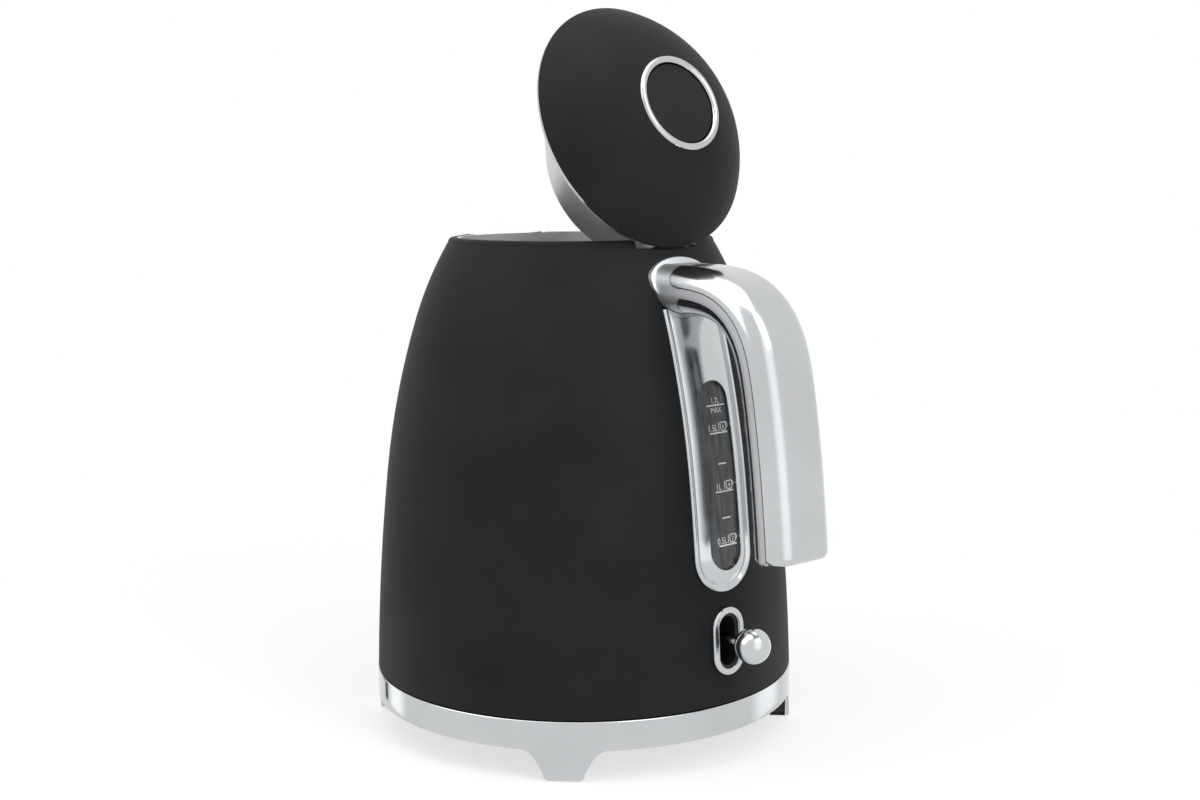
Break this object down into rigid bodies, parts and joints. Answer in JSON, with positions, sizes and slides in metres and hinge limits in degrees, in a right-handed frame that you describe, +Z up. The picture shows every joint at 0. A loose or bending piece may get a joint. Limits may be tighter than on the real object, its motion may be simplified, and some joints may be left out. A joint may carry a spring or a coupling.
{
  "type": "electric kettle",
  "caption": "Cordless electric kettle with a flared black body, domed flip lid, bright curved handle, level window and lever switch, standing on a footed power base.",
  "frame": {"origin": "centre of the power base on the plane of its foot pads", "axes": "+Z up, +X from the body axis towards the handle"},
  "size_m": [0.2278, 0.181, 0.3026],
  "materials": {
    "polished_plate": "polished",
    "soft_black_coat": "satin",
    "satin_steel": "satin",
    "satin_plate": "satin",
    "black_moulding": "matte",
    "black_button": "satin",
    "clear_window": "polished",
    "seal_silicone": "matte",
    "foot_rubber": "matte",
    "contact_brass": "machined",
    "diffuser_aluminium": "machined",
    "screw_steel": "machined"
  },
  "bodies": {
    "power_base": {"base_ring": "polished_plate", "base_tray": "black_moulding", "foot_blocks": "black_moulding", "foot_pads": "foot_rubber", "base_bottom_plate": "black_moulding", "base_screws": "screw_steel", "cord_gland": "foot_rubber", "connector_plug": "black_moulding", "contact_ring": "contact_brass", "contact_sleeve": "contact_brass"},
    "connector": {"connector_socket": "black_moulding", "connector_pin": "contact_brass"},
    "kettle": {"body_shell": "soft_black_coat", "collar": "satin_steel", "hinge_bracket": "satin_steel", "hinge_pin": "screw_steel", "spout": "soft_black_coat", "filter_frame": "black_moulding", "filter_mesh": "satin_steel", "heater_plate": "satin_steel", "heat_diffuser": "diffuser_aluminium", "heating_element": "satin_steel", "control_unit": "black_moulding", "bottom_cover": "black_moulding", "cover_screws": "screw_steel", "steam_tube": "satin_steel", "gauge_frame": "polished_plate", "gauge_window": "clear_window", "gauge_gasket": "seal_silicone", "switch_bezel": "polished_plate", "switch_housing": "black_moulding", "switch_pivot_pin": "screw_steel", "handle_frame": "satin_plate", "handle_outer_cover": "polished_plate", "handle_inner_cover": "polished_plate", "handle_screws": "screw_steel"},
    "switch": {"switch_lever": "satin_plate", "switch_knob": "satin_plate"},
    "lid": {"lid_dome": "soft_black_coat", "lid_rim_ring": "polished_plate", "lid_liner": "satin_steel", "lid_seal": "seal_silicone", "lid_hinge_arm": "satin_steel", "lid_button_ring": "polished_plate", "button_guide": "black_moulding", "button_spring": "screw_steel"},
    "button": {"lid_button": "black_button"}
  },
  "joints": [
    {"name": "kettle_lift", "type": "slide", "parent": "power_base", "child": "connector", "axis": [0, 0, 1], "range_m": [0, 0.06]},
    {"name": "kettle_swivel", "type": "hinge", "parent": "connector", "child": "kettle", "pos_m": [0, 0, 0], "axis": [0, 0, 1], "continuous": true},
    {"name": "lid_hinge", "type": "hinge", "parent": "kettle", "child": "lid", "pos_m": [0.0522, 0, 0.2031], "axis": [0, -1, 0], "range_deg": [0, 68.6], "stiffness_Nm_per_rad": 0.08, "springref_deg": -22.92},
    {"name": "lid_button_press", "type": "slide", "parent": "lid", "child": "button", "axis": [-0.9311, 0, -0.3649], "range_m": [0, 0.0025], "stiffness_N_per_m": 400, "springref_m": -0.002},
    {"name": "switch_throw", "type": "hinge", "parent": "kettle", "child": "switch", "pos_m": [0.066, 0, 0.0512], "axis": [0, 1, 0], "range_deg": [0, 12]}
  ]
}
